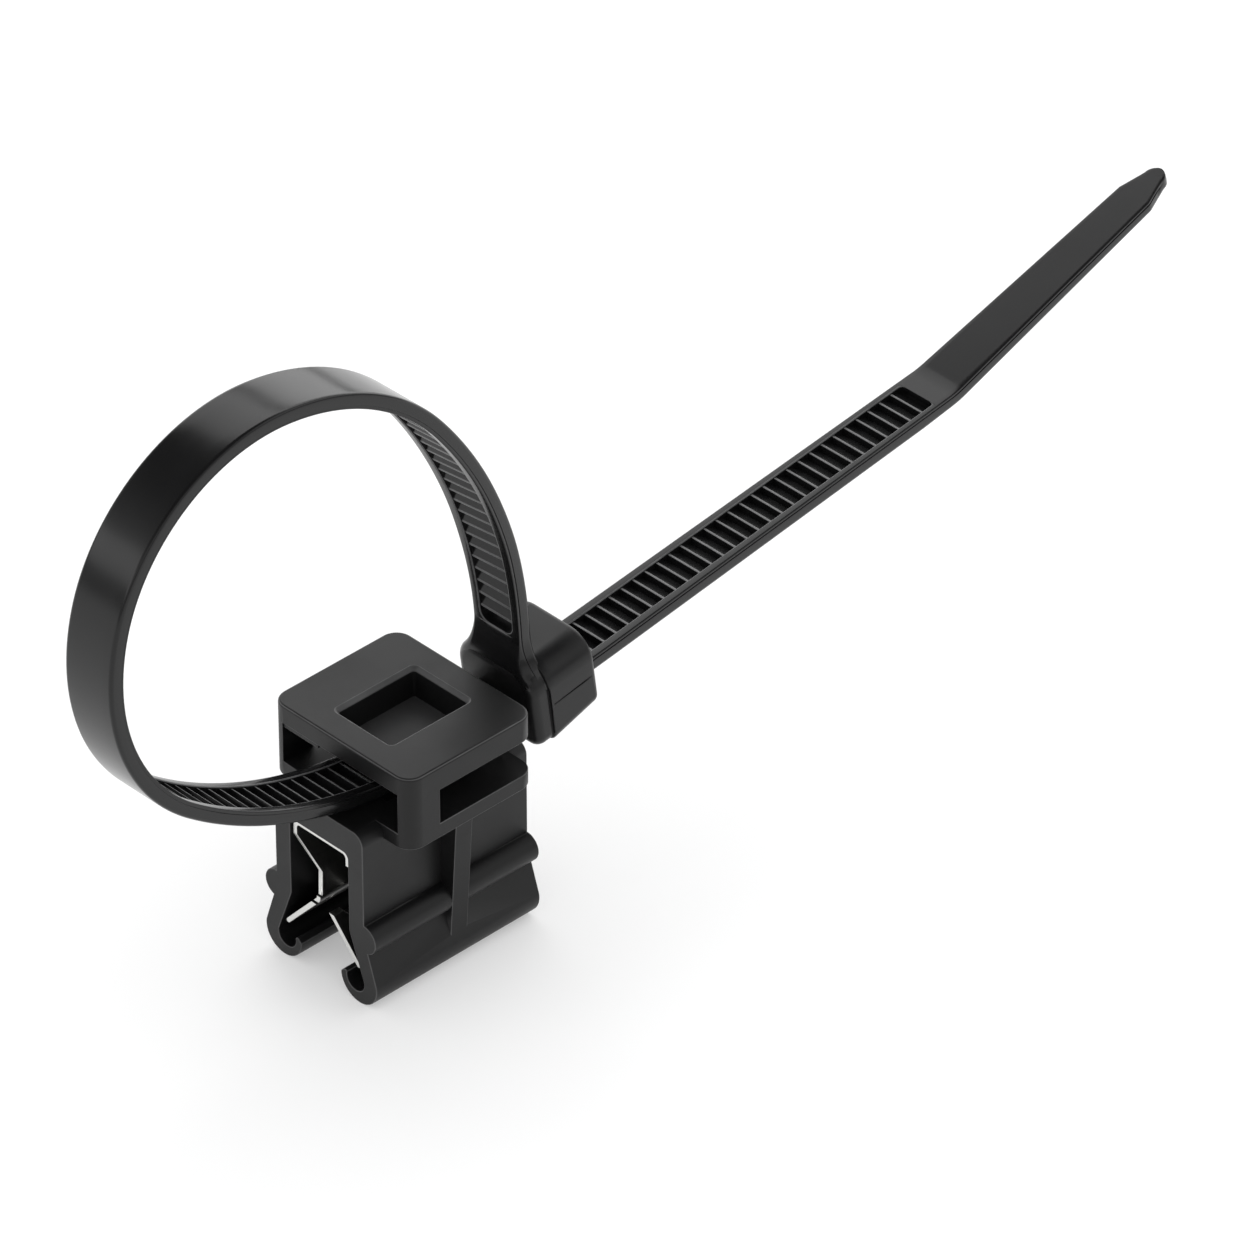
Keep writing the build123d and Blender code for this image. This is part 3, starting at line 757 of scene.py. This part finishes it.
def cutBox(name, half, low, high, start, end, flare=0.0, flareReach=0.0):
    points, faces = [], []
    depths = [start, end] if not flare else [start, flareReach, end]
    for depth in depths:
        grow = flare if depth == start else 0
        points += [
            inHead(-half - grow, low - grow, depth), inHead(half + grow, low - grow, depth),
            inHead(half + grow, high + grow, depth), inHead(-half - grow, high + grow, depth),
        ]
    for r in range(len(depths) - 1):
        for k in range(4):
            faces.append((r * 4 + k, r * 4 + (k + 1) % 4, r * 4 + 4 + (k + 1) % 4, r * 4 + 4 + k))
    faces += [(3, 2, 1, 0), tuple(range(len(points) - 4, len(points)))]
    mesh = meshFrom(name, points, faces)
    tidyMesh(mesh)
    return linkObject(name, mesh)


def sideLine(name, side, up, start, end):
    # a fine line that the halves of the mould leave on the side of the head
    outer = head["width"] / 2 + head["lineReach"]
    deep = head["width"] / 2 + head["step"] * 0.4 - head["lineDepth"]
    wide = head["lineWidth"]
    points = [
        inHead(side * x, up + rise, depth) for depth in (start, end)
        for x, rise in ((deep, 0), (outer, 0), (outer, wide), (deep, wide))
    ]
    faces = [(3, 2, 1, 0), (4, 5, 6, 7)]
    faces += [(k, (k + 1) % 4, (k + 1) % 4 + 4, k + 4) for k in range(4)]
    mesh = meshFrom(name, points, faces)
    tidyMesh(mesh)
    return linkObject(name, mesh)


headPiece = linkObject("tieHead", headForm())
slotHalf = strap["thick"] / 2 + head["slotClear"]
cavityTop = slotHalf + head["pawlThick"] + head["flexGap"]
slotEnd = head["depth"] + head["cutPast"]
cutters = [
    cutBox("slotCut", strap["width"] / 2 + head["slotClear"], -slotHalf, slotHalf,
           -head["cutBefore"], slotEnd, head["slotMouth"], head["mouthReach"]),
    cutBox("pawlCut", head["pawlWidth"] / 2 + head["pawlGap"], slotHalf - head["cutOverlap"], cavityTop,
           head["collar"] / 2, slotEnd),
]
for side in (-1, 1):
    cutters.append(sideLine("partingCut", side, head["partingAt"], head["collar"] + head["lineStart"],
                            head["depth"] + head["cutBefore"]))
for cutter in cutters:
    cut = headPiece.modifiers.new(cutter.name, "BOOLEAN")
    cut.operation = "DIFFERENCE"
    cut.object = cutter
    cut.solver = "EXACT"
bakeModifiers(headPiece)
for cutter in cutters:
    bpy.data.objects.remove(cutter)
tidyMesh(headPiece.data, head["weld"])
softenEdges(headPiece, head["arris"], head["edgeFrom"])
headPiece.data.materials.clear()
headPiece.data.materials.append(headNylon)


def pawlForm():
    # tongue inside the slot, with teeth that sit in the ladder
    clear, land, pitch, steep = head["pawlClear"], strap["crestLand"], strap["pitch"], strap["steepRun"]
    begin = headInlet + head["collar"] / 2 - head["slotClear"]
    first = phaseTooth - head["pawlTeeth"] * pitch - clear
    outline = [(begin, slotHalf + clear)]
    for number in range(head["pawlTeeth"]):
        at = first + number * pitch
        outline += [(at, crest + 2 * clear), (at + land, crest + 2 * clear)]
        outline.append((at + pitch - steep, valley + 2 * clear))
    outline += [
        (phaseTooth - clear, crest + clear),
        (phaseTooth - clear, slotHalf + head["pawlThick"] * head["pawlTip"]),
        (begin, slotHalf + head["pawlThick"]),
    ]
    half, count = head["pawlWidth"] / 2, len(outline)
    points = []
    for x in (-half, half):
        for distance, rise in outline:
            at = station(distance, rise)
            points.append((x, at.y, at.z))
    faces = [tuple(range(count)), tuple(range(2 * count - 1, count - 1, -1))]
    faces += [(k, (k + 1) % count, (k + 1) % count + count, k + count) for k in range(count)]
    mesh = meshFrom("pawl", points, faces)
    tidyMesh(mesh)
    return mesh


pawlPiece = linkObject("pawl", pawlForm())
softenEdges(pawlPiece, head["pawlArris"], head["edgeFrom"])
pawlPiece.data.materials.append(tieNylon)
print("head:", len(headPiece.data.polygons), "faces")


# clip and spring insert: the frame's own forms with the small rounds that moulding and pressing leave
clip = {
    "arris": 0.06, "edgeFrom": 28, "weld": 0.0005, "flat": 0.6,
    "pocketDepth": 2.5, "pocketReach": 0.1, "levelFrom": 0.95,
    "topRound": 0.6, "paintedHighlightFrom": 0.55, "paintedHighlightTo": 0.85,
}
insert = {"arris": 0.05, "edgeFrom": 28, "weld": 0.0005, "flat": 0.6, "endFrom": 0.8}


def dressedCopy(node, name, look, finishes, sortFaces, arrisPaintedHighlight=-1):
    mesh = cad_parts[node].data.copy()
    mesh.name = name
    made = linkObject(name, mesh)
    form = bmesh.new()
    form.from_mesh(mesh)
    bmesh.ops.remove_doubles(form, verts=form.verts, dist=look["weld"] * mm)
    bmesh.ops.dissolve_limit(
        form, angle_limit=radians(look["flat"]), verts=form.verts, edges=form.edges, delimit={"NORMAL"})
    # outer edges get the round, inner corners stay crisp
    weights = form.edges.layers.float.new("bevel_weight_edge")
    for edge in form.edges:
        edge.smooth = True
        if len(edge.link_faces) == 2 and edge.calc_face_angle(0) > radians(look["edgeFrom"]):
            if edge.is_convex:
                edge[weights] = 1.0
            else:
                edge.smooth = False
    form.to_mesh(mesh)
    form.free()
    if "custom_normal" in mesh.attributes:
        mesh.attributes.remove(mesh.attributes["custom_normal"])
    mesh.materials.clear()
    for finish in finishes:
        mesh.materials.append(finish)
    for face in mesh.polygons:
        face.use_smooth = True
        face.material_index = sortFaces(face)
    return softenEdges(made, look["arris"], finish=arrisPaintedHighlight)


clipTop = max(v.co.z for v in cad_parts["clip_body"].data.vertices) / mm


def clipNylonOrPaintedLight(face):
    # the bottom of the plate's opening takes a painted lighter tone standing in for the light that falls
    # there, and the middle of its rounded top edge a painted highlight
    depth = clipTop - face.center.z / mm
    if face.normal.z > clip["levelFrom"] and abs(depth - clip["pocketDepth"]) < clip["pocketReach"]:
        return 1
    return 2 if depth < clip["topRound"] and clip["paintedHighlightFrom"] < face.normal.z < clip["paintedHighlightTo"] else 0


def isCutEdge(face):
    # the two ends of the pressed strip are bare where it was sheared
    return 1 if abs(face.normal.y) > insert["endFrom"] else 0


clipPiece = dressedCopy("clip_body", "clipBody", clip, (clipNylon, pocketPaintedLight, clipPaintedHighlight), clipNylonOrPaintedLight, 2)
insertPiece = dressedCopy("grip_insert", "springInsert", insert, (springSteel, bareSteel), isCutEdge)
print("clip:", len(clipPiece.data.polygons), "faces, insert:", len(insertPiece.data.polygons), "faces")

for piece, node, slot in (
    (strapPiece, "cable_tie", "tie"), (headPiece, "cable_tie", "tie"), (pawlPiece, "cable_tie", "tie"),
    (clipPiece, "clip_body", "clip"), (insertPiece, "grip_insert", "insert"),
):
    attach(piece, "root")
    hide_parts(node)


studio = {
    "floorReach": 4.0, "floorColour": (0.93, 0.93, 0.93, 1), "floorSeen": 0.35, "floorMirrored": 0.29,
    "worldLight": 0.96,
    "skyStops": ((0.0, 0.32), (0.15, 0.5), (0.3, 0.9), (0.4, 0.9), (0.55, 0.45), (0.68, 0.2), (0.8, 0.08)),
    "aim": (0, 0.01, 0.02),
    "lamps": {
        "backLamp": {"at": (-0.41, 0.51, 0.22), "size": (1.0, 0.3), "power": 1.45},
        "highLamp": {"at": (-0.34, 0.38, 0.54), "size": (0.8, 0.28), "power": 1.25},
        "leftLamp": {"at": (-0.36, -0.64, 0.27), "size": (0.8, 0.2), "power": 0.5},
        "rightLamp": {"at": (0.3, 0.5, 0.52), "size": (0.7, 0.45), "power": 0.6},
    },
}


def whiteStage():
    floorMesh = meshFrom("floor", [
        (-1000, -1000, 0), (1000, -1000, 0), (1000, 1000, 0), (-1000, 1000, 0)], [(0, 1, 2, 3)])
    floorMesh.transform(Matrix.Scale(studio["floorReach"], 4))
    floor = linkObject("floor", floorMesh)
    paper = bpy.data.materials.new("whitePaper")
    paper.use_nodes = True
    nodes, links = paper.node_tree.nodes, paper.node_tree.links
    nodes.clear()
    matte, glow = nodes.new("ShaderNodeBsdfDiffuse"), nodes.new("ShaderNodeEmission")
    matte.inputs["Color"].default_value = studio["floorColour"]
    glow.inputs["Strength"].default_value = 1.0
    rays = nodes.new("ShaderNodeLightPath")
    seen, mirrored = nodes.new("ShaderNodeMath"), nodes.new("ShaderNodeMath")
    seen.operation = mirrored.operation = "MULTIPLY"
    seen.inputs[1].default_value = studio["floorSeen"]
    mirrored.inputs[1].default_value = studio["floorMirrored"]
    links.new(rays.outputs["Is Camera Ray"], seen.inputs[0])
    links.new(rays.outputs["Is Glossy Ray"], mirrored.inputs[0])
    share = nodes.new("ShaderNodeMath")
    share.operation = "MAXIMUM"
    links.new(seen.outputs[0], share.inputs[0])
    links.new(mirrored.outputs[0], share.inputs[1])
    mix, output = nodes.new("ShaderNodeMixShader"), nodes.new("ShaderNodeOutputMaterial")
    links.new(share.outputs[0], mix.inputs[0])
    links.new(matte.outputs[0], mix.inputs[1])
    links.new(glow.outputs[0], mix.inputs[2])
    links.new(mix.outputs[0], output.inputs["Surface"])
    floorMesh.materials.append(paper)

    world = bpy.data.worlds.new("softRoom")
    bpy.context.scene.world = world
    world.use_nodes = True
    nodes, links = world.node_tree.nodes, world.node_tree.links
    back = nodes["Background"]
    # what the part mirrors is pale at the horizon and darker overhead, as in a photographer's tent
    place, parts = nodes.new("ShaderNodeTexCoord"), nodes.new("ShaderNodeSeparateXYZ")
    links.new(place.outputs["Generated"], parts.inputs[0])
    sky = nodes.new("ShaderNodeValToRGB")
    ramp = sky.color_ramp
    while len(ramp.elements) < len(studio["skyStops"]):
        ramp.elements.new(1.0)
    for element, (height, grey) in zip(ramp.elements, studio["skyStops"]):
        element.position = height
        element.color = (grey, grey, grey, 1)
    links.new(parts.outputs["Z"], sky.inputs["Fac"])
    rays, seen = nodes.new("ShaderNodeLightPath"), nodes.new("ShaderNodeMath")
    strength, mirrored = nodes.new("ShaderNodeMapRange"), nodes.new("ShaderNodeMapRange")
    seen.operation = "MAXIMUM"
    links.new(rays.outputs["Is Camera Ray"], seen.inputs[0])
    links.new(rays.outputs["Is Transmission Ray"], seen.inputs[1])
    mirrored.inputs["To Min"].default_value = studio["worldLight"]
    links.new(sky.outputs["Color"], mirrored.inputs["To Max"])
    links.new(rays.outputs["Is Glossy Ray"], mirrored.inputs["Value"])
    links.new(mirrored.outputs["Result"], strength.inputs["To Min"])
    strength.inputs["To Max"].default_value = 1.0
    links.new(seen.outputs[0], strength.inputs["Value"])
    links.new(strength.outputs["Result"], back.inputs["Strength"])
    back.inputs["Color"].default_value = (1, 1, 1, 1)


def softLamp(name, look):
    lamp = bpy.data.lights.new(name, "AREA")
    lamp.shape = "RECTANGLE"
    lamp.size, lamp.size_y = look["size"]
    lamp.energy = look["power"]
    made = linkObject(name, lamp)
    made.location = look["at"]
    made.rotation_mode = "QUATERNION"
    made.rotation_quaternion = (Vector(studio["aim"]) - Vector(look["at"])).to_track_quat("-Z", "Y")


whiteStage()
for name, look in studio["lamps"].items():
    softLamp(name, look)

shot = {"azimuth": 45.90676, "elevation": 35.95867, "lens": 282.597, "distance": 700.26,
        "pixels": 9843.79, "originAt": (403.567, 929.954), "middle": 627.0}


def photoCamera():
    a, e = radians(shot["azimuth"]), radians(shot["elevation"])
    right = Vector((cos(a), sin(a), 0))
    forward = Vector((-sin(a) * cos(e), cos(a) * cos(e), -sin(e)))
    down = forward.cross(right)
    acrossBy = (shot["originAt"][0] - shot["middle"]) * shot["distance"] / shot["pixels"]
    downBy = (shot["originAt"][1] - shot["middle"]) * shot["distance"] / shot["pixels"]
    camera = bpy.data.cameras.new("photoCamera")
    camera.lens = shot["lens"]
    camera.sensor_width = 36.0
    camera.clip_start, camera.clip_end = 0.01, 20.0
    made = linkObject("photoCamera", camera)
    made.location = -(right * acrossBy + down * downBy + forward * shot["distance"]) * mm
    made.rotation_mode = "QUATERNION"
    made.rotation_quaternion = forward.to_track_quat("-Z", "Y")
    bpy.context.scene.camera = made


photoCamera()
bpy.context.scene.view_settings.view_transform = "Standard"
print("stage set")
